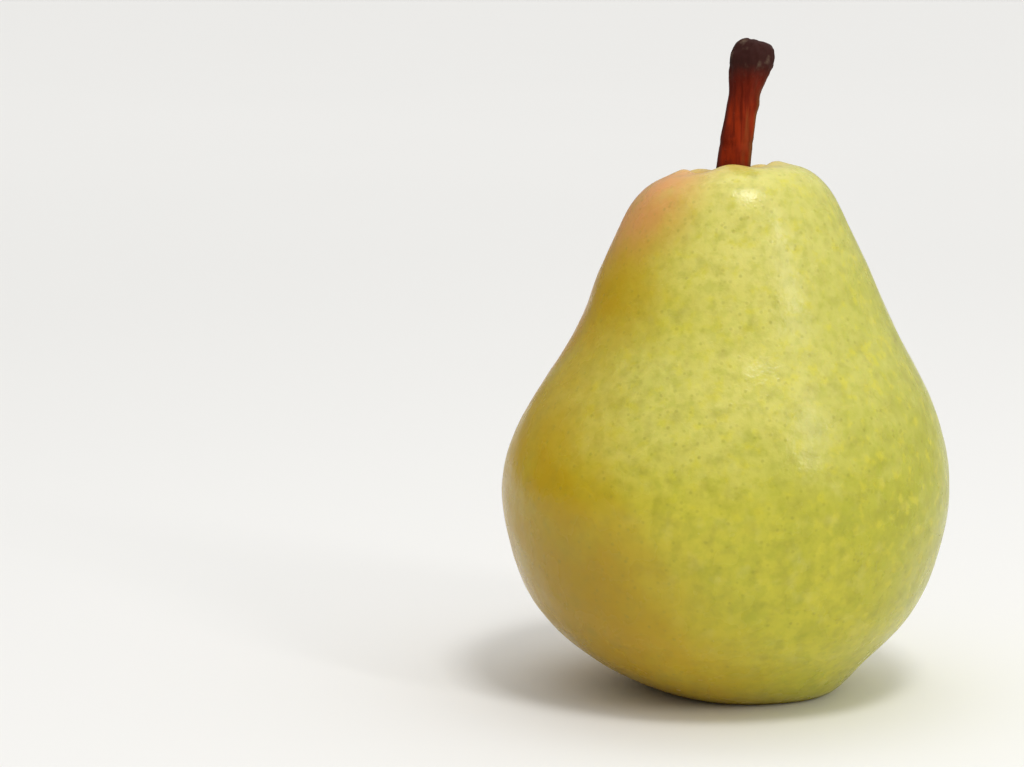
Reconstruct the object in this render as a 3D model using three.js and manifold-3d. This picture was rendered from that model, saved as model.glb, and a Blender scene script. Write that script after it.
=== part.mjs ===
// A pear standing on its calyx end: the fruit, its woody stem, and the dried calyx in the basin underneath.
// Millimetres, +Z up. The origin is on the resting surface, below the middle of the widest ring.
// Angles run from +X, the side of the higher shoulder, towards +Y.
import * as THREE from "three";
import { mergeVertices } from "three/addons/utils/BufferGeometryUtils.js";
import Module from "manifold-3d";

const wasm = await Module();
wasm.setup();

const { PI, atan2, cos, exp, hypot, sin } = Math;
const { clamp, lerp, smoothstep } = THREE.MathUtils;

// Driving dimensions of the fruit
const BELLY_RADIUS = 35;
const BELLY_HEIGHT = 31;
const CROWN_HEIGHT = 81.7;
const FRUIT_SIDES = 72;

// Its underside: a basin for the calyx, with a flat ring round it that the fruit rests on
const BASIN_RADIUS = 10;
const BASIN_DEPTH = 6.5;
const REST_RADIUS = 13.5;

// Its crown: a rounded rim that dips to the stem hollow
const CROWN_RADIUS = 8;
const RIM_RISE = 0.6; // how far the rim's curve is drawn up before it dips
const HOLLOW_DEPTH = 5;

// Radius and height at stations up the flank, from just above the resting ring to the rim of the crown
const FLANK = [
  [15.4, 0.75],
  [18.5, 2.6],
  [24, 7],
  [30.6, 14.6],
  [33.6, 22.5],
  [BELLY_RADIUS, BELLY_HEIGHT],
  [33.1, 41],
  [28.6, 50.3],
  [24.1, 58.2],
  [21, 65.8],
  [17.6, 73],
  [14.2, 78.7],
  [11, 80.9],
  [CROWN_RADIUS, CROWN_HEIGHT],
];

// What makes it lopsided
const OUT_OF_ROUND = 0.024; // share by which it is thinner front to back
const BASE_SHIFT = 4; // the resting ring lies this far towards +X
const BASE_SHIFT_FADE = 4.3; // height over which that shift dies away
const NECK_SHIFT = 1.5; // the neck swings out this far the same way
const CROWN_SHIFT = 0.5; // and the crown this far
const NECK_HEIGHT = 62;
const CROWN_TILT = 1; // rise of the rim's higher side, and fall of the other
const CROWN_TILT_ANGLE = -0.7;
const LOBES = 5; // faint ribs over the five seed chambers
const LOBE_SHARE = 0.014; // of the radius, at the underside
const LOBE_FADE = 9;
const LOBE_ANGLE = PI / LOBES; // of the first rib, so that +X lies between two
const SWELLING = 0.009; // three broad swellings of the belly and neck, as a share of the radius
const SWELLING_ANGLE = 1.9;

// Stem: its root stands in a socket in the crown
const STEM_ROOT = 71;
const STEM_END = 101.2;
const STEM_RADIUS = 2.35;
const STEM_KNOB_RADIUS = 3.3;
const STEM_FOOT = { x: 0.5, y: -0.2 };
const STEM_LEAN = { x: 4, y: 1.1 };
const STEM_FLARE = 0.5; // how much thicker the shaft is where it leaves the crown
const STEM_SWELL = 8.7; // from the end down to where the shaft starts to swell
const STEM_CAP = 3.4; // from the end down to the knob's widest ring
const STEM_DISH = 0.5; // depth of the dished, torn end
const STEM_SLANT = 0.26; // fall of that end per millimetre towards +X
const STEM_RIDGES = 5;
const STEM_RIDGE_SHARE = 0.035;
const STEM_SIDES = 20;
const CLEARANCE = 0.3; // between the fruit and what sits in it

// Calyx: a woody cup with five dried sepals that curl down and out
const SEPALS = 5;
const CUP_RADIUS = 2.9;
const CUP_THICKNESS = 1.4;
const SEPAL_REACH = 6.4;
const SEPAL_WIDTH = 3.6;
const SEPAL_THICKNESS = 0.7;
const SEPAL_DROOP = 3.4;

// A closed solid of revolution about Z, from points (radius, height).
function turned(points, sides) {
  return new THREE.LatheGeometry(points, sides).rotateX(PI / 2);
}

// Moves every vertex of a geometry by a rule that takes and returns a THREE.Vector3.
function reshaped(geometry, rule) {
  const position = geometry.getAttribute("position");
  const vertex = new THREE.Vector3();
  for (let i = 0; i < position.count; i++) {
    const moved = rule(vertex.fromBufferAttribute(position, i));
    position.setXYZ(i, moved.x, moved.y, moved.z);
  }
  return geometry;
}

// A geometry as a solid that can be joined and cut.
function solidOf(geometry) {
  const bare = geometry.clone().deleteAttribute("normal").deleteAttribute("uv");
  const merged = mergeVertices(bare, 1e-3);
  const mesh = new wasm.Mesh({
    numProp: 3,
    vertProperties: merged.getAttribute("position").array,
    triVerts: new Uint32Array(merged.index.array),
  });
  return new wasm.Manifold(mesh);
}

// And back again.
function geometryOf(solid) {
  const mesh = solid.getMesh();
  const geometry = new THREE.BufferGeometry();
  geometry.setAttribute("position", new THREE.BufferAttribute(mesh.vertProperties, 3));
  geometry.setIndex(new THREE.BufferAttribute(mesh.triVerts, 1));
  geometry.computeVertexNormals();
  return geometry;
}

// Half outline of the fruit, from the middle of the basin round the belly to the middle of the stem hollow.
function fruitOutline() {
  const hollowFloor = CROWN_HEIGHT - HOLLOW_DEPTH;
  const basin = new THREE.Path().moveTo(0, BASIN_DEPTH);
  basin.bezierCurveTo(0.6 * BASIN_RADIUS, BASIN_DEPTH, 0.7 * BASIN_RADIUS, 0, BASIN_RADIUS, 0);
  const side = new THREE.Path().moveTo(REST_RADIUS, 0);
  side.splineThru(FLANK.map(([radius, height]) => new THREE.Vector2(radius, height)));
  const hollow = new THREE.Path().moveTo(CROWN_RADIUS, CROWN_HEIGHT);
  const rise = { x: 0.72 * CROWN_RADIUS, y: CROWN_HEIGHT + RIM_RISE };
  hollow.bezierCurveTo(rise.x, rise.y, 0.5 * CROWN_RADIUS, hollowFloor, 0, hollowFloor);
  return [...basin.getPoints(7), ...side.getPoints(3), ...hollow.getPoints(7).slice(1)];
}

// Moves a point of the round fruit to where it is on the lopsided one.
function lopsided(point) {
  const { z } = point;
  const angle = atan2(point.y, point.x);
  const radius = hypot(point.x, point.y);
  const lobes = LOBE_SHARE * exp(-z / LOBE_FADE) * cos(LOBES * (angle - LOBE_ANGLE));
  const swelling = SWELLING * smoothstep(z, 0, BELLY_HEIGHT) * cos(3 * (angle - SWELLING_ANGLE));
  const grown = radius * (1 + lobes + swelling);
  const underneath = radius <= REST_RADIUS && z < BELLY_HEIGHT;
  const baseShift = BASE_SHIFT * (underneath ? 1 : exp(-z / BASE_SHIFT_FADE));
  const upNeck = clamp((z - BELLY_HEIGHT) / (CROWN_HEIGHT - BELLY_HEIGHT), 0, 1);
  const neckShift = NECK_SHIFT * sin(PI * upNeck) ** 2;
  const crown = smoothstep(z, NECK_HEIGHT, CROWN_HEIGHT);
  const tilt = CROWN_TILT * crown * (radius / CROWN_RADIUS);
  return point.set(
    grown * cos(angle) + baseShift + neckShift + CROWN_SHIFT * crown,
    grown * sin(angle) * (1 - OUT_OF_ROUND),
    z + tilt * cos(angle - CROWN_TILT_ANGLE),
  );
}

// Half outline of the straight stem, wider all round by spare.
function stemOutline(spare) {
  const knob = STEM_KNOB_RADIUS + spare;
  const shaft = STEM_RADIUS + spare;
  const flared = shaft + STEM_FLARE;
  const root = STEM_ROOT - spare;
  const swell = STEM_END - STEM_SWELL;
  const widest = STEM_END - STEM_CAP;
  const outline = new THREE.Path().moveTo(0, root);
  outline.lineTo(shaft, root);
  outline.bezierCurveTo(flared, lerp(root, swell, 0.5), shaft, lerp(root, swell, 0.75), shaft, swell);
  outline.bezierCurveTo(shaft, lerp(swell, widest, 0.45), knob, lerp(swell, widest, 0.65), knob, widest);
  outline.bezierCurveTo(knob, lerp(widest, STEM_END, 0.6), 0.8 * knob, STEM_END, 0.45 * knob, STEM_END);
  outline.lineTo(0, STEM_END - STEM_DISH);
  return outline.getPoints(8);
}

// Moves a point of the straight stem to where it is on the ridged, leaning one.
function leaning(point) {
  const along = (point.z - STEM_ROOT) / (STEM_END - STEM_ROOT);
  const angle = atan2(point.y, point.x);
  const ridged = 1 + STEM_RIDGE_SHARE * cos(STEM_RIDGES * angle + 2 * along);
  const torn = smoothstep(along, 0.85, 1);
  return point.set(
    STEM_FOOT.x + STEM_LEAN.x * along ** 2 + point.x * ridged,
    STEM_FOOT.y + STEM_LEAN.y * along ** 2 + point.y * ridged,
    point.z - torn * STEM_SLANT * point.x,
  );
}

function makeStem(spare = 0) {
  return reshaped(turned(stemOutline(spare), STEM_SIDES), leaning);
}

function makeFruit() {
  const body = solidOf(reshaped(turned(fruitOutline(), FRUIT_SIDES), lopsided));
  const socket = solidOf(makeStem(CLEARANCE));
  return geometryOf(body.subtract(socket));
}

// One sepal along +X: a pointed blade that droops towards its tip.
function makeSepal() {
  const half = SEPAL_WIDTH / 2;
  const start = CUP_RADIUS - 1.2;
  const outline = new THREE.Shape().moveTo(start, -0.7 * half);
  outline.quadraticCurveTo(lerp(start, SEPAL_REACH, 0.45), -1.3 * half, SEPAL_REACH, 0);
  outline.quadraticCurveTo(lerp(start, SEPAL_REACH, 0.45), 1.3 * half, start, 0.7 * half);
  const blade = new THREE.ExtrudeGeometry(outline, {
    depth: SEPAL_THICKNESS,
    bevelEnabled: false,
    curveSegments: 7,
  });
  return reshaped(blade, (point) => {
    const out = (point.x - start) / (SEPAL_REACH - start);
    return point.setZ(point.z - SEPAL_DROOP * out ** 1.6);
  });
}

function makeCalyx() {
  const top = BASIN_DEPTH - 2 * CLEARANCE;
  const cupOutline = [
    new THREE.Vector2(0, top - CUP_THICKNESS + 0.5),
    new THREE.Vector2(0.6 * CUP_RADIUS, top - CUP_THICKNESS),
    new THREE.Vector2(CUP_RADIUS, top - 0.6 * CUP_THICKNESS),
    new THREE.Vector2(0.8 * CUP_RADIUS, top),
    new THREE.Vector2(0, top),
  ];
  let calyx = solidOf(turned(cupOutline, 30));
  for (let i = 0; i < SEPALS; i++) {
    const sepal = makeSepal().translate(0, 0, top - CUP_THICKNESS + 0.2);
    calyx = calyx.add(solidOf(sepal.rotateZ((2 * PI * (i + 0.5)) / SEPALS)));
  }
  return geometryOf(calyx).translate(BASE_SHIFT, 0, 0);
}

function piece(name, geometry, color, roughness) {
  const mesh = new THREE.Mesh(geometry, new THREE.MeshStandardMaterial({ color, roughness, metalness: 0 }));
  mesh.name = name;
  return mesh;
}

const pear = new THREE.Group();
pear.add(piece("fruit", makeFruit(), 0xc9be58, 0.42));
pear.add(piece("stem", makeStem(), 0x5a2410, 0.6));
pear.add(piece("calyx", makeCalyx(), 0x4a3320, 0.85));

export default pear;
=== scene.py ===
"""A pear standing on a pale floor: speckled skin, ridged stem and dried calyx, with the light and the view.

Lengths are in metres, +Z is up and the viewer stands at -Y. Angles run from +X, the side of the higher
shoulder, towards +Y.
"""
import math

import bpy
import numpy as np
from bpy.props import FloatProperty, FloatVectorProperty, IntProperty, PointerProperty
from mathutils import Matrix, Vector, noise
from mathutils.geometry import interpolate_bezier


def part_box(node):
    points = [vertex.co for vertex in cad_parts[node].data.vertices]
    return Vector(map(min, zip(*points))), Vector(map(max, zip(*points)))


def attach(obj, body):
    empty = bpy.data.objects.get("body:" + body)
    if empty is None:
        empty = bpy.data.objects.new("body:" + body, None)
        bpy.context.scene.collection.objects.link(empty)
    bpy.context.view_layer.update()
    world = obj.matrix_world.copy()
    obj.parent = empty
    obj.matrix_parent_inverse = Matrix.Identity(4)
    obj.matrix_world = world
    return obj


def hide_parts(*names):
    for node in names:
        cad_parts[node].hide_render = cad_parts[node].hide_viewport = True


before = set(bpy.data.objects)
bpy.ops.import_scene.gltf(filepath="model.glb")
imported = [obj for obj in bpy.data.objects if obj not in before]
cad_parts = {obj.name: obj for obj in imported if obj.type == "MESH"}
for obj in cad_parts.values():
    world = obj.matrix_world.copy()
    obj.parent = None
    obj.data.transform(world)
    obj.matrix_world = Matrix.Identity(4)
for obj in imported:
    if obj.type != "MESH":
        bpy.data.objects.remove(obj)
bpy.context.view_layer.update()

bl_info = {
    "name": "Pear",
    "version": (1, 0, 0),
    "blender": (4, 5, 0),
    "location": "View3D > Sidebar > Pear",
    "description": "Builds a pear from its skin, stem and calyx, and a stage to show it on",
    "category": "Object",
}

MM = 0.001
STEM_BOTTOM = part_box("stem")[0].z
CALYX_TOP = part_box("calyx")[1].z

# The photograph's frame, in pixels, and where the middle of the belly is in it
PHOTO_WIDTH, PHOTO_HEIGHT = 1024, 767
BELLY_PIXEL = (723, 491)
PIXELS_PER_MM = 6.36

# Radius and height at stations up the flank, from the resting ring to the rim of the crown
FLANK = (
    (13.5 * MM, 0),
    (15.4 * MM, 0.75 * MM),
    (18.5 * MM, 2.6 * MM),
    (24 * MM, 7 * MM),
    (30.6 * MM, 14.6 * MM),
    (33.6 * MM, 22.5 * MM),
    (35 * MM, 31 * MM),
    (33.1 * MM, 41 * MM),
    (28.6 * MM, 50.3 * MM),
    (24.1 * MM, 58.2 * MM),
    (21 * MM, 65.8 * MM),
    (17.6 * MM, 73 * MM),
    (14.2 * MM, 78.7 * MM),
    (11 * MM, 80.9 * MM),
    (8 * MM, 81.7 * MM),
)
REST_RADIUS = FLANK[0][0]
BELLY_HEIGHT = 31 * MM
CROWN_RADIUS, CROWN_HEIGHT = FLANK[-1]

# What makes the fruit lopsided
OUT_OF_ROUND = 0.024  # share by which it is thinner front to back
BASE_SHIFT_FADE = 4.3 * MM  # height over which the base's shift dies away
NECK_HEIGHT = 62 * MM
CROWN_TILT_ANGLE = -0.7
LOBES = 5  # faint ribs over the five seed chambers
LOBE_SHARE = 0.014  # of the radius, at the underside
LOBE_FADE = 9 * MM
LOBE_ANGLE = math.pi / LOBES
SWELLINGS = 3  # broad ones, of the belly and the neck
SWELLING_SHARE = 0.009
SWELLING_ANGLE = 1.9

# Size of the lumps of uneven growth, and their share of the height
GROWTH = ((15 * MM, 1), (6 * MM, 0.45), (2.4 * MM, 0.2))

# Heights over the floor, and distances from the stem, between which that growth comes in
GROWTH_FROM_FLOOR = (0.4 * MM, 6 * MM)
GROWTH_FROM_STEM = (3 * MM, 6 * MM)

# Folds round the stem: distances from it between which they rise and then fall, how many they are, the
# angle of the first, and how far and over what size they wander
FOLD_RISE = (2.9 * MM, 5.5 * MM)
FOLD_FALL = (6.5 * MM, 11 * MM)
FOLDS = 5
FOLD_ANGLE = -math.pi / 2
FOLD_WANDER = 0.5
FOLD_WANDER_SIZE = 9 * MM

# Ridges of the stem, their turn from its root to its end, and their share of the radius
STEM_RIDGES = 5
STEM_TWIST = 2
STEM_RIDGE_SHARE = 0.05
TORN_FROM = 0.85  # share of the way up where the torn end starts to slant

# The stem's socket, with plainer ridges and a gap all round
SOCKET_GAP = 0.12 * MM
SOCKET_RIDGE_SHARE = 0.035
SOCKET_STEP = 6  # of the stem's rings, one in so many is enough for the wall
HOLLOW_END = 1.25  # the hollow stops short of the socket, at so many times the radius of its mouth

# Size and height of the stem's furrows, which are drawn out lengthwise, and of the cork on its end
FURROWS = ((0.9 * MM, 0.12 * MM), (0.4 * MM, 0.05 * MM))
FURROW_DRAW = (1, 1, 0.16)
CORK = ((2.3 * MM, 0.34 * MM), (0.9 * MM, 0.16 * MM))

# Height, angle and rise of the leaf scars on the stem, and how far a scar spreads up and round
LEAF_SCARS = (
    (86.2 * MM, -2.2, 0.28 * MM),
    (88.4 * MM, 1.7, 0.26 * MM),
    (91.5 * MM, -0.5, 0.24 * MM),
)
SCAR_HEIGHT = 0.9 * MM
SCAR_ANGLE = 0.5

# Height, half width and depth of the groove round the stem below them
GROOVE_HEIGHT = 85.6 * MM
GROOVE_WIDTH = 0.5 * MM
GROOVE_DEPTH = 0.09 * MM

# Radius and height of the calyx cup's outline, as shares of its own, and its ribs
CUP = ((0.05, 0.4), (0.35, 0.34), (0.62, 0.02), (0.9, 0.2), (1, 0.45), (0.93, 0.8), (0.75, 0.97), (0.03, 1))
CUP_RIBS = 10
CUP_RIB_SHARE = 0.04

# How far a sepal's root lies inside the cup's edge and above its underside, and how its fall grows
SEPAL_ROOT = 1.2 * MM
SEPAL_SEAT = 0.4 * MM
SEPAL_CURL = 1.6

# How finely the pieces are drawn
FRUIT_SIDES = 288
BASIN_RINGS, REST_RINGS, FLANK_RINGS, HOLLOW_RINGS = 30, 5, 190, 34
STEM_SIDES = 72
FOOT_RINGS, SHAFT_RINGS, SWELL_RINGS, SHOULDER_RINGS, TORN_RINGS = 4, 60, 40, 20, 12
CUP_SIDES, CUP_RINGS = 60, 40
SEPAL_SIDES, SEPAL_RINGS = 20, 26
STAMEN_SIDES, STAMEN_RINGS = 8, 16
CALYX_SEED = 7

# Middles of the patches on the skin, some of them painted highlight, shade and reflection
BLUSHED_CHEEK = (-28 * MM, 24 * MM, 60 * MM)
PEACH_SHOULDER = (-13 * MM, -6 * MM, 79 * MM)
# Painted shade low on the left, partly the skin's own deeper gold
AMBER_SHADE_FOOT = (-27 * MM, -20 * MM, 13 * MM)
# A painted highlight on the front of the neck
PAINTED_HIGHLIGHT_NECK = (5 * MM, -17 * MM, 71 * MM)
# Painted shade on the right flank
PAINTED_SHADE_NECK = (28 * MM, -6 * MM, 50 * MM)
# Painted light on the front of the foot
PAINTED_LIGHT_FOOT = (14 * MM, -30 * MM, 17 * MM)
# A painted reflection, whiter skin, low on the right
PAINTED_REFLECTION_FOOT = (31 * MM, -13 * MM, 21 * MM)
LOWER_MIDDLE = (0, 0, 18 * MM)

# Ways that the skin's sides of one colour face, partly painted sheen and shade
# Greener skin with painted shade on the right flank
GREEN_AND_SHADE_SIDE = (0.9, -0.1, 0.42)
# A painted sheen on the upward faces
PAINTED_SHEEN_SIDE = (0.1, -0.3, 0.95)
# Warm skin with painted shade on the left, lower side
GOLD_AND_SHADE_SIDE = (-0.88, 0.0, -0.47)

# Sides of the light panels, and where they are: degrees to the right, degrees up and distance, or a place
KEY_SIZE = (0.2, 0.2)
KEY_AIM = (26, 65, 0.9)
STRIP_SIZE = (0.05, 0.3)
STRIP_AIM = (48, 32, 0.9)
BACKDROP_SIZE = (12, 9.2)
BACKDROP_PLACE = (0, 5, 2.5)
BACKDROP_TARGET = (0, 5, 0)
BACKDROP_SPREAD = math.radians(60)

# The way to the bright side of the room, and the cosine of the angle from it where the room is dimmest
ROOM_BRIGHT_WAY = (0.28, 0.1, 0.95)
ROOM_DIM_LEVEL = -0.2


def linear(hex_colour):
    """An sRGB hex colour as linear red, green and blue."""
    shares = (int(hex_colour[i : i + 2], 16) / 255 for i in (1, 3, 5))
    return tuple(c / 12.92 if c <= 0.04045 else ((c + 0.055) / 1.055) ** 2.4 for c in shares)


def length(name, description, default):
    return FloatProperty(name=name, description=description, default=default, unit="LENGTH", precision=5)


def shift(name, description, default):
    return FloatVectorProperty(name=name, description=description, size=2, default=default, unit="LENGTH")


def colour(name, description, hex_colour):
    return FloatVectorProperty(
        name=name, description=description, default=linear(hex_colour), subtype="COLOR", min=0, max=1
    )


class FruitSettings(bpy.types.PropertyGroup):
    """Sizes and colours of the fruit and its skin"""

    basin_radius: length("Basin radius", "From the middle of the basin to the resting ring", 10 * MM)
    basin_depth: length("Basin depth", "Height of the basin over the floor", 6.5 * MM)
    hollow_depth: length("Hollow depth", "How far the stem hollow dips below the rim", 5 * MM)
    base_shift: length("Base shift", "How far the resting ring lies towards +X", 4 * MM)
    neck_shift: length("Neck shift", "How far the neck swings out the same way", 1.5 * MM)
    crown_shift: length("Crown shift", "How far the crown lies the same way", 0.5 * MM)
    crown_tilt: length("Crown tilt", "Rise of the rim's higher side", 1 * MM)
    rim_rise: length("Rim rise", "How far the rim's curve is drawn up before it dips", 0.6 * MM)
    lumps: length("Lumps", "Height of the uneven growth all over the skin", 0.2 * MM)
    folds: length("Folds", "Height of the folds round the stem", 0.45 * MM)
    # Yellow also paints light on the front of the foot
    yellow: colour("Yellow", "The riper skin", "#d2c93c")
    # Green also paints shade on the right flank and on the neck's right side
    green: colour("Green", "The greener skin", "#a6a929")
    # Pale also paints the sheen on top, the highlight on the neck and the reflection low on the right
    pale: colour("Pale", "The lightest skin, on top and in flecks", "#e0d880")
    # Gold is partly painted shade on the left, lower side
    gold: colour("Gold", "The warm side", "#c5a004")
    # Amber is painted shade low on the left, partly the skin's own deeper gold
    amber_shade: colour("Amber", "The deepest gold, low on that side", "#957600")
    peach: colour("Peach", "The fringe of the blush", "#e0a058")
    blush: colour("Blush", "The side that the sun reddened", "#cf5a2a")
    speck: colour("Speck", "The pores and the darker mottling", "#8a8428")
    blemish: colour("Blemish", "The few dark marks", "#4d4a1a")
    russet: colour("Russet", "The corky skin at both ends", "#8f6a33")


class StemSettings(bpy.types.PropertyGroup):
    """Sizes and colours of the stem"""

    root: length("Root", "Height of the root inside the crown", STEM_BOTTOM)
    end: length("End", "Height of the middle of the torn end", 101.2 * MM)
    radius: length("Radius", "Of the shaft", 2.35 * MM)
    knob_radius: length("Knob radius", "Of the thickened end", 3.3 * MM)
    flare: length("Flare", "How much thicker the shaft is where it leaves the crown", 0.5 * MM)
    swell: length("Swell", "From the end down to where the shaft starts to swell", 8.7 * MM)
    cap: length("Cap", "From the end down to the knob's widest ring", 3.4 * MM)
    dish: length("Dish", "Depth of the torn end", 0.5 * MM)
    foot: shift("Foot", "Middle of the root", (0.5 * MM, -0.2 * MM))
    lean: shift("Lean", "From the root to the end", (4 * MM, 1.1 * MM))
    slant: FloatProperty(name="Slant", description="Fall of the end for each metre towards +X", default=0.26)
    bark: colour("Bark", "The lit shaft", "#952c08")
    streak: colour("Streak", "The furrows of the shaft", "#561204")
    # Side paints a reflection: an olive tinge on the stem's right side
    side: colour("Side", "The side that stayed greener", "#6f4a1e")
    # Knob also paints shade on the stem's left side and at its foot in the hollow
    knob: colour("Knob", "The dark, corky end", "#331a16")
    scar: colour("Scar", "The paler torn fibres", "#5e4a3c")


class CalyxSettings(bpy.types.PropertyGroup):
    """Sizes and colours of the calyx"""

    sepals: IntProperty(name="Sepals", description="How many", default=5, min=3, max=8)
    stamens: IntProperty(name="Stamens", description="How many dry ones are left", default=16, min=0, max=40)
    cup_radius: length("Cup radius", "Of the woody cup that the sepals grow on", 2.9 * MM)
    cup_thickness: length("Cup thickness", "Of that cup", 1.4 * MM)
    reach: length("Reach", "From the middle to a sepal's tip", 6.4 * MM)
    width: length("Width", "Of a sepal", 3.6 * MM)
    thickness: length("Thickness", "Of a sepal", 0.5 * MM)
    droop: length("Droop", "How far a sepal's tip hangs below its root", 3.4 * MM)
    dry: colour("Dry", "The papery sepals", "#6b4a2b")
    dark: colour("Dark", "Their folds and tips", "#2a1a10")


class StageSettings(bpy.types.PropertyGroup):
    """The view and the light"""

    lens: FloatProperty(name="Lens", description="Focal length in millimetres", default=100)
    sensor: FloatProperty(name="Sensor", description="Width of the sensor in millimetres", default=36)
    elevation: FloatProperty(
        name="Elevation",
        description="Of the camera over the belly",
        default=math.radians(10.5),
        subtype="ANGLE",
    )
    floor_size: length("Floor", "Side of the floor", 60)
    floor: colour("Floor colour", "The painted board", "#ebeae7")
    key_power: FloatProperty(name="Key", description="Watts of the soft box above the front", default=2.75)
    strip_power: FloatProperty(name="Strip", description="Watts of the tall strip on the right", default=1.0)
    backdrop_power: FloatProperty(name="Backdrop", description="Watts over the floor behind", default=100)
    dim: FloatProperty(name="Dim", description="Brightness of the room's darkest side", default=0.1)
    bright: FloatProperty(name="Bright", description="Brightness of the room overhead", default=0.98)


# Mesh making


def smoothstep(value, low, high):
    share = np.clip((value - low) / (high - low), 0, 1)
    return share * share * (3 - 2 * share)


def spline(stations, count):
    """Points along the natural cubic spline through the stations."""
    points = np.array(stations, float)
    gaps = np.linalg.norm(np.diff(points, axis=0), axis=1)
    knots = np.concatenate([[0], np.cumsum(gaps)])
    slopes = np.diff(points, axis=0) / gaps[:, None]
    system, sides = np.eye(len(points)), np.zeros_like(points)
    for i in range(1, len(points) - 1):
        system[i, i - 1 : i + 2] = gaps[i - 1], 2 * (gaps[i - 1] + gaps[i]), gaps[i]
        sides[i] = 6 * (slopes[i] - slopes[i - 1])
    bends = np.linalg.solve(system, sides)
    place = np.linspace(0, knots[-1], count)
    i = np.clip(np.searchsorted(knots, place, side="right") - 1, 0, len(points) - 2)
    gap = gaps[i, None]
    after = (place - knots[i])[:, None] / gap
    before = 1 - after
    curve = (before**3 - before) * bends[i] + (after**3 - after) * bends[i + 1]
    return before * points[i] + after * points[i + 1] + curve * gap**2 / 6


def bezier(start, first, second, end, count):
    """Points along a cubic curve between two points, drawn by its two handles."""
    corners = (Vector((*point, 0)) for point in (start, first, second, end))
    return np.array(interpolate_bezier(*corners, count))[:, :2]


def lumps(points, size, seed=0):
    """Smooth noise, from about -1 to 1, at each point, with lumps of that size."""
    offset = Vector((17.3, 5.1, 9.7)) * seed
    return np.array([noise.noise(Vector(point) / size + offset) for point in points.reshape(-1, 3)])


def layered_lumps(points, layers, seed=0):
    """Lumps of several sizes over one another; a layer is their size and their height."""
    return sum(height * lumps(points, size, seed + i) for i, (size, height) in enumerate(layers))


def ring_angles(sides):
    return np.linspace(0, 2 * math.pi, sides, endpoint=False)


def loft(rings):
    """A closed skin over rings of points, with a point at the middle of each end, as points and faces."""
    count, sides, _ = rings.shape
    points = np.concatenate([rings.reshape(-1, 3), rings[:1].mean(1), rings[-1:].mean(1)])
    along, around = np.mgrid[0 : count - 1, 0:sides]
    here = along * sides + around
    beside = along * sides + (around + 1) % sides
    quads = np.stack([here, beside, beside + sides, here + sides], -1).reshape(-1, 4)
    first = np.arange(sides)
    second = (first + 1) % sides
    last = (count - 1) * sides
    bottom = np.stack([np.full(sides, count * sides), second, first], -1)
    top = np.stack([np.full(sides, count * sides + 1), last + first, last + second], -1)
    return points, [*quads.tolist(), *bottom.tolist(), *top.tolist()]


def make_piece(name, solids, material, node_name):
    """One smooth object made of closed skins, in place of a node of the frame."""
    points, faces = [], []
    for solid_points, solid_faces in solids:
        start = sum(map(len, points))
        points.append(solid_points)
        faces.extend([start + corner for corner in face] for face in solid_faces)
    mesh = bpy.data.meshes.new(name)
    mesh.from_pydata(np.concatenate(points).tolist(), [], faces)
    mesh.shade_smooth()
    mesh.materials.append(material)
    mesh.validate()
    piece = bpy.data.objects.new(name, mesh)
    bpy.context.scene.collection.objects.link(piece)
    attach(piece, "root")
    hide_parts(node_name)
    return piece


def push_out(mesh, heights):
    """Moves each vertex along its normal by its height."""
    places = np.empty(len(mesh.vertices) * 3, np.float32)
    normals = np.empty_like(places)
    mesh.vertices.foreach_get("co", places)
    mesh.vertices.foreach_get("normal", normals)
    places += normals * np.repeat(heights, 3)
    mesh.vertices.foreach_set("co", places)
    mesh.update()


def vertices_of(mesh):
    places = np.empty(len(mesh.vertices) * 3, np.float32)
    mesh.vertices.foreach_get("co", places)
    return places.reshape(-1, 3).astype(float)


# Shapes of the pieces


def stem_outline(stem, spare=0):
    """Half outline of the straight stem, from its root to its end's middle, wider all round by spare."""
    knob = stem.knob_radius + spare
    shaft = stem.radius + spare
    root = stem.root - spare
    swell = stem.end - stem.swell
    widest = stem.end - stem.cap
    rise, grow, close = swell - root, widest - swell, stem.end - widest
    flared = (shaft + stem.flare, root + 0.5 * rise)
    lower = bezier((shaft, root), flared, (shaft, root + 0.75 * rise), (shaft, swell), SHAFT_RINGS)
    bend = (shaft, swell + 0.45 * grow)
    upper = bezier((shaft, swell), bend, (knob, swell + 0.65 * grow), (knob, widest), SWELL_RINGS)
    rim = (0.45 * knob, stem.end)
    full = (knob, widest + 0.6 * close)
    shoulder = bezier((knob, widest), full, (0.8 * knob, stem.end), rim, SHOULDER_RINGS)
    torn = np.linspace(rim, (0.04 * knob, stem.end - stem.dish), TORN_RINGS)
    foot = np.linspace((0.1 * shaft, root), (shaft, root), FOOT_RINGS)
    return np.concatenate([foot[:-1], lower, upper[1:], shoulder[1:], torn[1:]])


def stem_middle(stem, along):
    """Where the leaning stem's middle is, at a share of the way from its root to its end."""
    return [foot + lean * along**2 for foot, lean in zip(stem.foot, stem.lean)]


def stem_rings(stem, outline, sides, ridge_share):
    """The outline turned round the leaning, ridged stem."""
    radius, height = (values[:, None] for values in outline.T)
    angle = ring_angles(sides)[None, :]
    along = (height - stem.root) / (stem.end - stem.root)
    ridged = radius * (1 + ridge_share * np.cos(STEM_RIDGES * angle + STEM_TWIST * along))
    x, y = ridged * np.cos(angle), ridged * np.sin(angle)
    fall = smoothstep(along, TORN_FROM, 1) * stem.slant * x
    middle_x, middle_y = stem_middle(stem, along)
    return np.stack([middle_x + x, middle_y + y, height - fall], -1)


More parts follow.
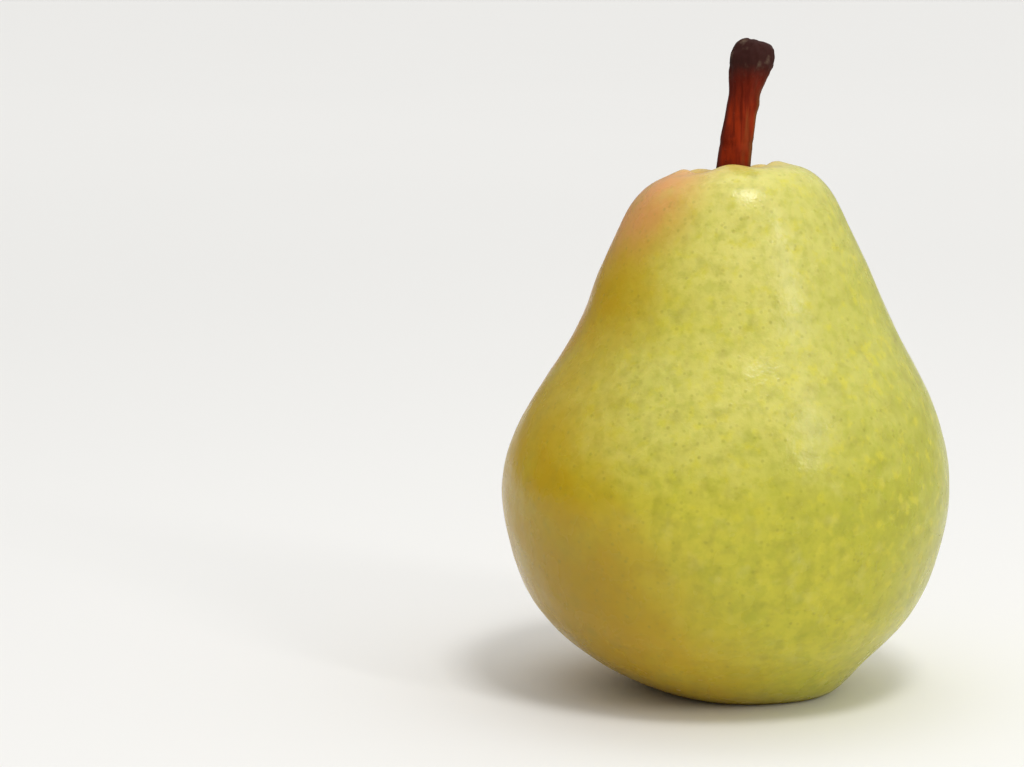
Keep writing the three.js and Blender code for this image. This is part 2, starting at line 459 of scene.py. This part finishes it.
def fruit_outline(fruit):
    """Half outline of the round fruit, from the middle of the basin round the belly to the stem hollow."""
    depth, wide = fruit.basin_depth, fruit.basin_radius
    basin = bezier((0.1 * MM, depth), (0.6 * wide, depth), (0.7 * wide, 0), (wide, 0), BASIN_RINGS)
    ring = np.linspace((wide, 0), (REST_RADIUS, 0), REST_RINGS)
    floor = CROWN_HEIGHT - fruit.hollow_depth
    rise = (0.72 * CROWN_RADIUS, CROWN_HEIGHT + fruit.rim_rise)
    dip = (0.5 * CROWN_RADIUS, floor)
    hollow = bezier(FLANK[-1], rise, dip, (0, floor), HOLLOW_RINGS)
    return np.concatenate([basin, ring[1:], spline(FLANK, FLANK_RINGS)[1:], hollow[1:]])


def fruit_rings(fruit, outline):
    """The outline turned round the lopsided fruit."""
    radius, height = (values[:, None] for values in outline.T)
    angle = ring_angles(FRUIT_SIDES)[None, :]
    lobes = LOBE_SHARE * np.exp(-height / LOBE_FADE) * np.cos(LOBES * (angle - LOBE_ANGLE))
    swollen = SWELLING_SHARE * smoothstep(height, 0, BELLY_HEIGHT)
    swelling = swollen * np.cos(SWELLINGS * (angle - SWELLING_ANGLE))
    grown = radius * (1 + lobes + swelling)
    underneath = (radius <= REST_RADIUS) & (height < BELLY_HEIGHT)
    base_shift = fruit.base_shift * np.where(underneath, 1, np.exp(-height / BASE_SHIFT_FADE))
    up_neck = np.clip((height - BELLY_HEIGHT) / (CROWN_HEIGHT - BELLY_HEIGHT), 0, 1)
    neck_shift = fruit.neck_shift * np.sin(math.pi * up_neck) ** 2
    crown = smoothstep(height, NECK_HEIGHT, CROWN_HEIGHT)
    tilt = fruit.crown_tilt * crown * radius / CROWN_RADIUS
    x = grown * np.cos(angle) + base_shift + neck_shift + fruit.crown_shift * crown
    y = grown * np.sin(angle) * (1 - OUT_OF_ROUND)
    return np.stack([x, y, height + tilt * np.cos(angle - CROWN_TILT_ANGLE)], -1)


def with_socket(rings, socket):
    """The fruit's rings, with the hollow closing in on the stem's socket and going on down to its bottom."""
    mouth = socket[-1]
    from_mouth = np.linalg.norm((rings - mouth.mean(0))[..., :2], axis=-1).mean(1)
    mouth_radius = np.linalg.norm((mouth - mouth.mean(0))[:, :2], axis=-1).mean()
    in_hollow = rings[..., 2].mean(1) > CROWN_HEIGHT - CROWN_RADIUS
    kept = rings[~(in_hollow & (from_mouth < HOLLOW_END * mouth_radius))]
    return np.concatenate([kept, socket[::-1]])


def fruit_relief(fruit, stem, points):
    """Height of the growth at each point of the skin, none where the fruit rests or holds the stem."""
    x, y, z = points.T
    from_stem = np.hypot(x - stem.foot[0], y - stem.foot[1])
    on_top = z > NECK_HEIGHT
    off_stem = np.where(on_top, smoothstep(from_stem, *GROWTH_FROM_STEM), 1)
    clear = smoothstep(z, *GROWTH_FROM_FLOOR) * off_stem
    growth = layered_lumps(points, GROWTH)
    angle = np.arctan2(y - stem.foot[1], x - stem.foot[0])
    wander = FOLD_WANDER * lumps(points, FOLD_WANDER_SIZE, len(GROWTH))
    rim = smoothstep(from_stem, *FOLD_RISE) * (1 - smoothstep(from_stem, *FOLD_FALL))
    folds = np.where(on_top, rim, 0) * np.cos(FOLDS * (angle - FOLD_ANGLE) + wander)
    return fruit.lumps * clear * growth + fruit.folds * folds


def stem_relief(stem, points):
    """Height of the furrows, leaf scars, groove and corky knob at each point of the stem."""
    x, y, z = points.T
    along = (z - stem.root) / (stem.end - stem.root)
    middle_x, middle_y = stem_middle(stem, along)
    angle = np.arctan2(y - middle_y, x - middle_x)
    furrows = layered_lumps(points * FURROW_DRAW, FURROWS)
    knob = smoothstep(z, stem.end - 7 * MM, stem.end - 2.5 * MM)
    cork = layered_lumps(points, CORK, len(FURROWS))
    relief = furrows * (1 - 0.5 * knob) + cork * knob
    for height, side, rise in LEAF_SCARS:
        turn = np.angle(np.exp(1j * (angle - side)))
        relief += rise * np.exp(-(((z - height) / SCAR_HEIGHT) ** 2) - (turn / SCAR_ANGLE) ** 2)
    return relief - GROOVE_DEPTH * np.exp(-(((z - GROOVE_HEIGHT) / GROOVE_WIDTH) ** 2))


def sepal_rings(calyx, draw):
    """One dried sepal along +X: a pointed blade, cupped, wrinkled and curled down and out to its tip."""
    start = calyx.cup_radius - SEPAL_ROOT
    out = np.linspace(0, 1, SEPAL_RINGS)[:, None]
    angle = ring_angles(SEPAL_SIDES)[None, :]
    half = 0.5 * calyx.width * (0.35 + 0.62 * np.sin(math.pi * (0.14 + 0.8 * out))) * (1 - out**3) ** 0.5
    thick = 0.5 * calyx.thickness * (1 - 0.7 * out)
    across = np.maximum(half, 0.05 * MM) * np.cos(angle)
    wrinkle = 0.1 * MM * np.sin(5 * across / MM + draw.uniform(0, 6)) * out
    cup = -0.22 * across**2 / (0.5 * calyx.width)
    sway = draw.uniform(-0.35, 0.35) * MM * out**2
    x = start + (calyx.reach - start) * out + 0 * angle
    z = -calyx.droop * out**SEPAL_CURL * draw.uniform(0.94, 1.02) + thick * np.sin(angle) + cup + wrinkle
    return np.stack([x, across + sway, z], -1)


def stamen_rings(calyx, draw):
    """One dried stamen: a bent thread that ends in a shrivelled bead."""
    out = np.linspace(0, 1, STAMEN_RINGS)[:, None]
    angle = ring_angles(STAMEN_SIDES)[None, :]
    turn = draw.uniform(0, 2 * math.pi)
    root = draw.uniform(0.35, 0.75) * calyx.cup_radius
    spread = draw.uniform(-0.3, 0.9) * MM
    fall = draw.uniform(1.7, 2.6) * MM
    bead = np.exp(-(((out - 0.9) / 0.09) ** 2))
    radius = (0.13 + 0.17 * bead) * MM * np.minimum(1, 0.15 + 8 * (1 - out))
    way = root + spread * out**2 + radius * np.cos(angle)
    aside = 0.25 * MM * np.sin(3 * out) * draw.uniform(-1, 1) + radius * np.sin(angle)
    x = way * math.cos(turn) - aside * math.sin(turn)
    y = way * math.sin(turn) + aside * math.cos(turn)
    return np.stack([x, y, 0.5 * MM - fall * out + 0 * angle], -1)[::-1]


def cup_rings(calyx):
    """The woody cup, dished underneath, from the middle of its underside to the middle of its top."""
    wide, thick = calyx.cup_radius, calyx.cup_thickness
    outline = spline([(wide * radius, thick * (height - 1)) for radius, height in CUP], CUP_RINGS)
    radius, height = (values[:, None] for values in outline.T)
    angle = ring_angles(CUP_SIDES)[None, :]
    ribbed = radius * (1 + CUP_RIB_SHARE * np.cos(CUP_RIBS * angle))
    return np.stack([ribbed * np.cos(angle), ribbed * np.sin(angle), height + 0 * angle], -1)


def turned(rings, angle):
    """Rings turned about Z."""
    cos, sin = math.cos(angle), math.sin(angle)
    x, y, z = np.moveaxis(rings, -1, 0)
    return np.stack([x * cos - y * sin, x * sin + y * cos, z], -1)


# Materials


def add_node(tree, kind, inputs=None, **settings):
    """Adds a node with its settings; an input is a value, or the node or the socket that it links to."""
    made = tree.nodes.new(kind)
    for name, value in settings.items():
        setattr(made, name, value)
    sockets = {socket.identifier: socket for socket in made.inputs}
    for name, value in (inputs or {}).items():
        if isinstance(value, bpy.types.Node):
            value = next(socket for socket in value.outputs if socket.enabled)
        if isinstance(value, bpy.types.NodeSocket):
            tree.links.new(value, sockets[name])
        else:
            sockets[name].default_value = value
    return made


def new_material(name):
    """An empty material, with its tree, the place on the object and the way that the surface faces."""
    material = bpy.data.materials.new(name)
    material.use_nodes = True
    tree = material.node_tree
    tree.nodes.clear()
    where = add_node(tree, "ShaderNodeTexCoord").outputs
    return material, tree, where["Object"], where["Normal"]


def finish_material(tree, inputs):
    """Ends a tree with its surface."""
    surface = add_node(tree, "ShaderNodeBsdfPrincipled", inputs)
    add_node(tree, "ShaderNodeOutputMaterial", {"Surface": surface})


def grain(tree, place, size, low=0.35, high=0.65, detail=3.0):
    """Noise with patches of that size, spread from 0 to 1 between two levels."""
    pattern = add_node(tree, "ShaderNodeTexNoise", {"Vector": place, "Scale": 1 / size, "Detail": detail})
    inputs = {"Value": pattern, "From Min": low, "From Max": high}
    return add_node(tree, "ShaderNodeMapRange", inputs, interpolation_type="SMOOTHSTEP")


def near(tree, place, centre, inner, outer):
    """One within the inner distance of a point and nothing beyond the outer."""
    inputs = {"Vector": place, "Vector_001": centre}
    away = add_node(tree, "ShaderNodeVectorMath", inputs, operation="DISTANCE")
    inputs = {"Value": away, "From Min": outer, "From Max": inner}
    return add_node(tree, "ShaderNodeMapRange", inputs, interpolation_type="SMOOTHSTEP")


def facing(tree, outward, way, low, high):
    """One where the surface faces that way and nothing where it turns from it."""
    inputs = {"Vector": outward, "Vector_001": way}
    turn = add_node(tree, "ShaderNodeVectorMath", inputs, operation="DOT_PRODUCT")
    inputs = {"Value": turn, "From Min": low, "From Max": high}
    return add_node(tree, "ShaderNodeMapRange", inputs, interpolation_type="SMOOTHSTEP")


def specks(tree, place, spacing, radius, share):
    """Soft round specks, one to a cell of that spacing, of which that share shows, some more than others."""
    cells = add_node(tree, "ShaderNodeTexVoronoi", {"Vector": place, "Scale": 1 / spacing})
    inputs = {"Value": cells, "From Min": radius / spacing, "From Max": 0.25 * radius / spacing}
    spot = add_node(tree, "ShaderNodeMapRange", inputs, interpolation_type="SMOOTHSTEP")
    chance = add_node(tree, "ShaderNodeSeparateColor", {"Color": cells.outputs["Color"]})
    inputs = {"Value": chance, "From Min": 1 - share, "From Max": 1.0}
    strength = add_node(tree, "ShaderNodeMapRange", inputs)
    return add_node(tree, "ShaderNodeMath", {"Value": spot, "Value_001": strength}, operation="MULTIPLY")


def paint(tree, ground, layers):
    """Lays colours over a ground in turn; a layer is its colour, its pattern and the most that it covers."""
    ground = (*ground, 1)
    for tint, pattern, most in layers:
        cover = add_node(tree, "ShaderNodeMath", {"Value": pattern, "Value_001": most}, operation="MULTIPLY")
        inputs = {"A_Color": ground, "B_Color": (*tint, 1), "Factor_Float": cover}
        ground = add_node(tree, "ShaderNodeMix", inputs, data_type="RGBA")
    return ground


def skin_material(fruit, stem):
    """Pear skin, grown: thin and waxy over pale flesh, so it is satin, mottled and a little see-through."""
    material, tree, place, outward = new_material("pear_skin")
    patchy = grain(tree, place, 1.6 * MM, 0.25, 0.6)
    streaks = grain(tree, place, 6 * MM, 0.05, 0.6)
    # Patches of the warm side, which is partly painted shade
    gold_patches = grain(tree, place, 12 * MM, -0.1, 0.55, 6.0)
    # Pores are about half as wide as this, too fine to show, so they are drawn coarser
    pores = specks(tree, place, 1.15 * MM, 0.4 * MM, 0.85)
    stem_foot = (stem.foot[0], stem.foot[1], CROWN_HEIGHT - 3 * MM)
    low_down = near(tree, place, LOWER_MIDDLE, 34 * MM, 60 * MM)
    layers = (
        # Broad patches, some of them painted sheen, highlight, shade, light and reflection
        (fruit.green, grain(tree, place, 28 * MM, 0.35, 0.7, 1.0), 0.3),
        # Greener skin with painted shade on the right flank
        (fruit.green, facing(tree, outward, GREEN_AND_SHADE_SIDE, 0.1, 0.85), 0.8),
        # A painted sheen on the upward faces
        (fruit.pale, facing(tree, outward, PAINTED_SHEEN_SIDE, 0.2, 0.95), 0.6),
        # A painted highlight on the front of the neck
        (fruit.pale, near(tree, place, PAINTED_HIGHLIGHT_NECK, 3 * MM, 19 * MM), 0.4),
        # Painted shade on the right flank
        (fruit.green, near(tree, place, PAINTED_SHADE_NECK, 5 * MM, 20 * MM), 0.3),
        # Painted light on the front of the foot
        (fruit.yellow, near(tree, place, PAINTED_LIGHT_FOOT, 5 * MM, 22 * MM), 0.4),
        # A painted reflection low on the right
        (fruit.pale, near(tree, place, PAINTED_REFLECTION_FOOT, 4 * MM, 15 * MM), 0.25),
        # Mottling, stronger low down
        (fruit.green, grain(tree, place, 4.2 * MM, 0.42, 1.05, 3.0), low_down),
        (fruit.speck, grain(tree, place, 2.6 * MM, 0.42, 1.2, 3.0), low_down),
        (fruit.green, grain(tree, place, 1.7 * MM, 0.42, 0.7, 4.0), 0.36),
        (fruit.yellow, grain(tree, place, 1.9 * MM, 0.5, 0.72, 4.0), 0.6),
        (fruit.speck, grain(tree, place, 2.2 * MM, 0.52, 0.75, 4.0), 0.2),
        (fruit.pale, grain(tree, place, 3.1 * MM, 0.52, 0.75), 0.18),
        # The warm side, partly painted shade, and the blush
        (fruit.gold, facing(tree, outward, GOLD_AND_SHADE_SIDE, 0.0, 0.62), gold_patches),
        # Painted shade low on the left, partly the skin's own deeper gold
        (fruit.amber_shade, near(tree, place, AMBER_SHADE_FOOT, 3 * MM, 29 * MM), 0.5),
        (fruit.speck, grain(tree, place, 2.4 * MM, 0.45, 0.75, 4.0), 0.14),
        (fruit.peach, near(tree, place, PEACH_SHOULDER, 4 * MM, 16 * MM), streaks),
        (fruit.blush, near(tree, place, BLUSHED_CHEEK, 6 * MM, 36 * MM), streaks),
        # Pores, specks and marks
        (fruit.speck, pores, 0.3),
        (fruit.speck, specks(tree, place, 3.4 * MM, 0.4 * MM, 0.6), 0.45),
        (fruit.speck, specks(tree, place, 6.5 * MM, 1.6 * MM, 0.6), 0.3),
        (fruit.blemish, specks(tree, place, 17 * MM, 0.8 * MM, 0.5), 0.75),
        # Both ends
        (fruit.peach, near(tree, place, stem_foot, 5 * MM, 13 * MM), 0.5),
        (fruit.russet, near(tree, place, stem_foot, 2.5 * MM, 5.5 * MM), patchy),
        (fruit.russet, near(tree, place, (fruit.base_shift, 0, 4 * MM), 6 * MM, 13 * MM), patchy),
    )
    wax = grain(tree, place, 6 * MM, 0.3, 0.7)
    satin = add_node(tree, "ShaderNodeMapRange", {"Value": wax, "To Min": 0.22, "To Max": 0.31})
    # The peel's own grain is about a tenth of a millimetre, too fine to show, so it is drawn coarser
    peel = grain(tree, place, 0.9 * MM, 0.2, 0.8, 2.0)
    raised = add_node(tree, "ShaderNodeMath", {"Value": peel, "Value_001": pores}, operation="ADD")
    relief = add_node(tree, "ShaderNodeBump", {"Height": raised, "Strength": 0.35, "Distance": 0.06 * MM})
    inputs = {
        "Base Color": paint(tree, fruit.yellow, layers),
        "Roughness": satin,
        "Normal": relief,
        "IOR": 1.42,
        "Specular IOR Level": 0.48,
        "Subsurface Weight": 0.15,
        "Subsurface Radius": (1.0, 0.6, 0.2),
        "Subsurface Scale": 2.2 * MM,
    }
    finish_material(tree, inputs)
    return material


def stem_material(stem):
    """Young pear wood with its bark, furrowed lengthwise as it dried; the torn end is dark cork."""
    material, tree, place, outward = new_material("stem_bark")
    drawn_out = add_node(tree, "ShaderNodeMapping", {"Vector": place, "Scale": (1, 1, 0.14)})
    furrows = grain(tree, drawn_out, 0.8 * MM, 0.4, 0.75, 4.0)
    pores = specks(tree, place, 1.3 * MM, 0.25 * MM, 0.4)
    height = add_node(tree, "ShaderNodeSeparateXYZ", {"Vector": place}).outputs["Z"]
    bands = []
    for low, high in (
        (stem.end - 6.5 * MM, stem.end - 3 * MM),
        (CROWN_HEIGHT + 7 * MM, stem.end - 6 * MM),
        # Painted shade where the stem goes down into the hollow
        (CROWN_HEIGHT + 2 * MM, CROWN_HEIGHT - 1 * MM),
    ):
        levels = {"Value": height, "From Min": low, "From Max": high}
        bands.append(add_node(tree, "ShaderNodeMapRange", levels, interpolation_type="SMOOTHSTEP"))
    corky, upper, painted_shade_at_foot = bands
    layers = (
        (stem.streak, furrows, 0.8),
        (stem.streak, grain(tree, place, 3 * MM, 0.45, 0.75), 0.5),
        # A painted reflection, olive, on the stem's right side
        (stem.side, facing(tree, outward, (1, 0, 0), 0.5, 1.0), 0.8),
        # Painted shade on the stem's left side
        (stem.knob, facing(tree, outward, (-1, 0, 0), 0.45, 0.95), 0.7),
        (stem.streak, upper, 0.7),
        # Painted shade at the stem's foot in the hollow
        (stem.knob, painted_shade_at_foot, 0.7),
        (stem.knob, corky, 0.95),
        (stem.scar, grain(tree, place, 1.9 * MM, 0.52, 0.75), corky),
        (stem.scar, pores, 0.2),
    )
    rough = add_node(tree, "ShaderNodeMath", {"Value": furrows, "Value_001": pores}, operation="SUBTRACT")
    inputs = {"Height": rough, "Strength": 0.6, "Distance": 0.12 * MM}
    relief = add_node(tree, "ShaderNodeBump", inputs, invert=True)
    inputs = {
        "Base Color": paint(tree, stem.bark, layers),
        "Roughness": add_node(tree, "ShaderNodeMapRange", {"Value": furrows, "To Min": 0.6, "To Max": 0.85}),
        "Normal": relief,
        "Specular IOR Level": 0.1,
    }
    finish_material(tree, inputs)
    return material


def calyx_material(calyx):
    """Dried sepals: brown and papery, with dark folds and veins along them."""
    material, tree, place, _ = new_material("dried_sepals")
    crumple = grain(tree, place, 0.9 * MM, 0.3, 0.7, 4.0)
    layers = (
        (calyx.dark, crumple, 0.9),
        (calyx.dark, grain(tree, place, 0.3 * MM, 0.45, 0.7), 0.5),
    )
    inputs = {"Height": crumple, "Strength": 0.7, "Distance": 0.15 * MM}
    relief = add_node(tree, "ShaderNodeBump", inputs, invert=True)
    inputs = {
        "Base Color": paint(tree, calyx.dry, layers),
        "Roughness": add_node(tree, "ShaderNodeMapRange", {"Value": crumple, "To Min": 0.7, "To Max": 0.95}),
        "Normal": relief,
        "Specular IOR Level": 0.25,
    }
    finish_material(tree, inputs)
    return material


def floor_material(stage):
    """Painted board, rolled: matt, pale and very slightly uneven."""
    material, tree, place, _ = new_material("painted_board")
    # The roller's stipple is a few millimetres, too fine to show, so it is drawn as broad patches
    rolled = grain(tree, place, 300 * MM, 0.3, 0.7)
    inputs = {
        "Base Color": (*stage.floor, 1),
        "Roughness": add_node(tree, "ShaderNodeMapRange", {"Value": rolled, "To Min": 0.68, "To Max": 0.74}),
        "Specular IOR Level": 0.2,
    }
    finish_material(tree, inputs)
    return material


# The stage


def place_camera(stage):
    """Puts the camera at the photograph's angle, with the belly at the photograph's place and scale."""
    focal = stage.lens / stage.sensor * PHOTO_WIDTH
    right = (BELLY_PIXEL[0] - PHOTO_WIDTH / 2) / focal
    up = (PHOTO_HEIGHT / 2 - BELLY_PIXEL[1]) / focal
    slope = math.hypot(1, right, up)
    pitch = math.asin(slope * math.sin(stage.elevation) / math.hypot(1, up)) + math.atan(up)
    yaw = math.atan2(right, math.cos(pitch) + up * math.sin(pitch))
    distance = focal / PIXELS_PER_MM * MM * slope
    back = Vector((0, -math.cos(stage.elevation), math.sin(stage.elevation)))
    camera = bpy.data.objects.new("camera", bpy.data.cameras.new("camera"))
    camera.data.lens = stage.lens
    camera.data.sensor_width = stage.sensor
    camera.location = Vector((0, 0, BELLY_HEIGHT)) + distance * back
    camera.rotation_euler = (math.pi / 2 - pitch, 0, yaw)
    bpy.context.scene.collection.objects.link(camera)
    bpy.context.scene.camera = camera


def aim(azimuth, elevation, distance):
    """The way to a light; the azimuth is to the viewer's right, in degrees like the elevation."""
    turn, rise = math.radians(azimuth), math.radians(elevation)
    across = distance * math.cos(rise)
    return Vector((across * math.sin(turn), -across * math.cos(turn), distance * math.sin(rise)))


def place_light(name, power, size, place, target):
    """A soft panel that faces its target and isn't seen itself."""
    light = bpy.data.lights.new(name, "AREA")
    light.shape = "RECTANGLE"
    light.size, light.size_y = size
    light.energy = power
    panel = bpy.data.objects.new(name, light)
    panel.location = place
    panel.rotation_euler = (Vector(place) - Vector(target)).to_track_quat("Z", "Y").to_euler()
    panel.visible_camera = False
    bpy.context.scene.collection.objects.link(panel)
    return light


def light_room(stage):
    """A plain room, bright overhead and dimmer towards the floor and the left."""
    world = bpy.data.worlds.new("room")
    world.use_nodes = True
    tree = world.node_tree
    tree.nodes.clear()
    way = add_node(tree, "ShaderNodeTexCoord").outputs["Generated"]
    inputs = {"Vector": way, "Vector_001": ROOM_BRIGHT_WAY}
    height = add_node(tree, "ShaderNodeVectorMath", inputs, operation="DOT_PRODUCT")
    levels = {"Value": height, "From Min": ROOM_DIM_LEVEL, "To Min": stage.dim, "To Max": stage.bright}
    strength = add_node(tree, "ShaderNodeMapRange", levels, interpolation_type="SMOOTHSTEP")
    glow = add_node(tree, "ShaderNodeBackground", {"Color": (1, 1, 1, 1), "Strength": strength})
    add_node(tree, "ShaderNodeOutputWorld", {"Surface": glow})
    bpy.context.scene.world = world


# Operators


class PEAR_OT_fruit(bpy.types.Operator):
    """Build the fruit with its skin"""

    bl_idname = "pear.fruit"
    bl_label = "Fruit"

    def execute(self, context):
        fruit, stem = context.scene.pear_fruit, context.scene.pear_stem
        wall = stem_outline(stem, SOCKET_GAP)
        floor = CROWN_HEIGHT - fruit.hollow_depth
        in_crown = wall[wall[:, 1] < floor]
        socket = stem_rings(stem, in_crown[::SOCKET_STEP], FRUIT_SIDES, SOCKET_RIDGE_SHARE)
        rings = with_socket(fruit_rings(fruit, fruit_outline(fruit)), socket)
        piece = make_piece("fruit_skin", [loft(rings)], skin_material(fruit, stem), "fruit")
        push_out(piece.data, fruit_relief(fruit, stem, vertices_of(piece.data)))
        return {"FINISHED"}


class PEAR_OT_stem(bpy.types.Operator):
    """Build the stem with its furrowed bark and torn end"""

    bl_idname = "pear.stem"
    bl_label = "Stem"

    def execute(self, context):
        stem = context.scene.pear_stem
        rings = stem_rings(stem, stem_outline(stem), STEM_SIDES, STEM_RIDGE_SHARE)
        piece = make_piece("stem_bark", [loft(rings)], stem_material(stem), "stem")
        push_out(piece.data, stem_relief(stem, vertices_of(piece.data)))
        return {"FINISHED"}


class PEAR_OT_calyx(bpy.types.Operator):
    """Build the calyx from its cup, sepals and stamens"""

    bl_idname = "pear.calyx"
    bl_label = "Calyx"

    def execute(self, context):
        calyx, fruit = context.scene.pear_calyx, context.scene.pear_fruit
        draw = np.random.default_rng(CALYX_SEED)
        top = np.array((fruit.base_shift, 0, CALYX_TOP))
        root = top - (0, 0, calyx.cup_thickness - SEPAL_SEAT)
        solids = [loft(cup_rings(calyx) + top)]
        for i in range(calyx.sepals):
            angle = 2 * math.pi * (i + 0.5) / calyx.sepals + draw.uniform(-0.08, 0.08)
            solids.append(loft(turned(sepal_rings(calyx, draw), angle) + root))
        solids += [loft(stamen_rings(calyx, draw) + root) for _ in range(calyx.stamens)]
        make_piece("calyx_sepals", solids, calyx_material(calyx), "calyx")
        return {"FINISHED"}


class PEAR_OT_stage(bpy.types.Operator):
    """Set the floor, the light and the camera"""

    bl_idname = "pear.stage"
    bl_label = "Stage"

    def execute(self, context):
        stage = context.scene.pear_stage
        half = stage.floor_size / 2
        mesh = bpy.data.meshes.new("floor")
        corners = [(-half, -half, 0), (half, -half, 0), (half, half, 0), (-half, half, 0)]
        mesh.from_pydata(corners, [], [(0, 1, 2, 3)])
        mesh.materials.append(floor_material(stage))
        floor = bpy.data.objects.new("floor", mesh)
        context.scene.collection.objects.link(floor)
        belly = Vector((0, 0, BELLY_HEIGHT))
        place_light("key", stage.key_power, KEY_SIZE, belly + aim(*KEY_AIM), belly)
        place_light("strip", stage.strip_power, STRIP_SIZE, belly + aim(*STRIP_AIM), belly)
        power = stage.backdrop_power
        backdrop = place_light("backdrop", power, BACKDROP_SIZE, BACKDROP_PLACE, BACKDROP_TARGET)
        backdrop.spread = BACKDROP_SPREAD
        light_room(stage)
        place_camera(stage)
        context.scene.view_settings.view_transform = "Standard"
        return {"FINISHED"}


class PEAR_PT_pieces(bpy.types.Panel):
    """Lists the pieces with their sizes and colours"""

    bl_label = "Pear"
    bl_space_type = "VIEW_3D"
    bl_region_type = "UI"
    bl_category = "Pear"

    def draw(self, context):
        for operator in OPERATORS:
            self.layout.operator(operator.bl_idname)
        for name in SETTINGS:
            settings = getattr(context.scene, name)
            column = self.layout.column()
            for key in settings.bl_rna.properties.keys():
                if key not in ("rna_type", "name"):
                    column.prop(settings, key)


SETTINGS = {
    "pear_fruit": FruitSettings,
    "pear_stem": StemSettings,
    "pear_calyx": CalyxSettings,
    "pear_stage": StageSettings,
}
OPERATORS = (PEAR_OT_fruit, PEAR_OT_stem, PEAR_OT_calyx, PEAR_OT_stage)
CLASSES = (*SETTINGS.values(), *OPERATORS, PEAR_PT_pieces)


def register():
    for made in CLASSES:
        bpy.utils.register_class(made)
    for name, settings in SETTINGS.items():
        setattr(bpy.types.Scene, name, PointerProperty(type=settings))


def unregister():
    for name in SETTINGS:
        delattr(bpy.types.Scene, name)
    for made in reversed(CLASSES):
        bpy.utils.unregister_class(made)


def main():
    register()
    bpy.ops.pear.fruit()
    bpy.ops.pear.stem()
    bpy.ops.pear.calyx()
    bpy.ops.pear.stage()


if __name__ == "__main__":
    main()
